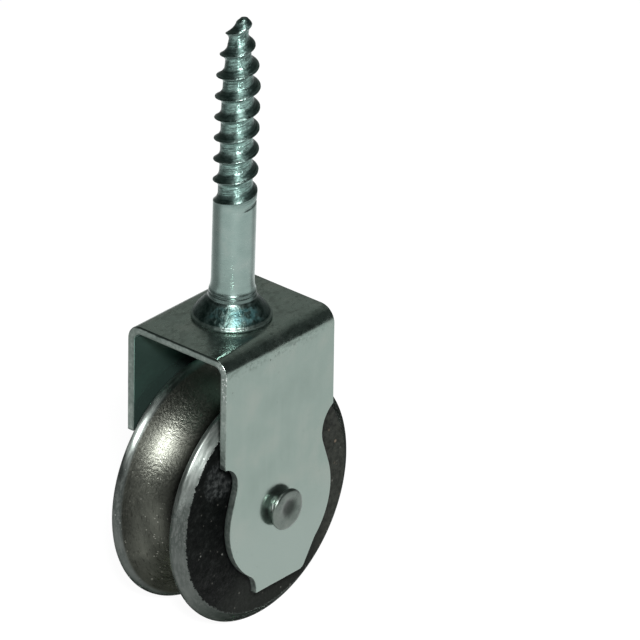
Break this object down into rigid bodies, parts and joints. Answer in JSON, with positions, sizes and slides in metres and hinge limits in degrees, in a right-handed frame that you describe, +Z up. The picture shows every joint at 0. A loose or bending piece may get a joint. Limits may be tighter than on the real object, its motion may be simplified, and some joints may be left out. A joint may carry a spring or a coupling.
{
  "type": "grooved gate wheel",
  "caption": "Steel gate wheel with a round groove, turning on a rivet in a folded sheet fork that hangs under a collared wood screw; it carries a gate along a round rail.",
  "frame": {"origin": "on the screw's axis at the foot of its plain shank, on top of the collar", "axes": "+Z up along the screw out of the fork, X the rolling direction, Y along the wheel's axle with the rivet's dome on the +Y side"},
  "size_m": [0.06, 0.0374, 0.1488],
  "materials": {
    "zinc_sheet": "zinc plated sheet, satin, sheared edges",
    "zinc_screw": "bright zinc plate",
    "rivet_steel": "plain steel, dulled",
    "bush_steel": "dark oiled steel",
    "cast_wheel": "turned groove and rims, raw black cast sides"
  },
  "bodies": {
    "fork": {"fork_bracket": "zinc_sheet", "wood_screw": "zinc_screw", "axle_rivet": "rivet_steel"},
    "bush": {"hub_bush": "bush_steel"},
    "wheel": {"grooved_wheel": "cast_wheel"}
  },
  "joints": [
    {"name": "wheel_float", "type": "slide", "parent": "fork", "child": "bush", "axis": [0, 1, 0], "range_m": [-0.0009, 0.0017]},
    {"name": "wheel_spin", "type": "hinge", "parent": "bush", "child": "wheel", "pos_m": [0, 0, -0.0514], "axis": [0, 1, 0], "continuous": true}
  ]
}
